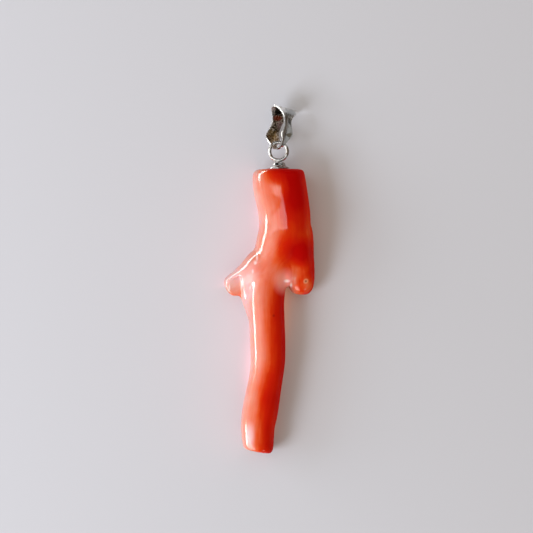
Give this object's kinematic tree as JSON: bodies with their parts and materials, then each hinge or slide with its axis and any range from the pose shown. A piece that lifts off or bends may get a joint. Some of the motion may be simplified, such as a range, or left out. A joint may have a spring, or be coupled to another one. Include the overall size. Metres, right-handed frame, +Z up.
{
  "type": "red coral branch pendant",
  "caption": "Polished red coral branch with a short twig and a stub, worn as a pendant on a silver cap, ring and folded bail.",
  "frame": {"origin": "middle of the pendant's underside, on the surface it lies on", "axes": "+Y up the branch towards the bail, +X towards the stub, +Z up from the surface"},
  "size_m": [0.0162, 0.063, 0.0078],
  "materials": {
    "coral": "polished red coral, salmon to deep red, slightly translucent",
    "silver": "polished silver"
  },
  "bodies": {
    "pendant": {"trunk": "coral", "lower_stem": "coral", "right_stub": "coral", "left_twig": "coral", "cap": "silver", "ring": "silver"},
    "bail": {"bail": "silver"}
  },
  "joints": [
    {"name": "bail_swing", "type": "hinge", "parent": "pendant", "child": "bail", "pos_m": [0.00155, 0.02467, 0.00398], "axis": [0.7603, -0.3026, -0.5748], "range_deg": [-10, 95]}
  ]
}
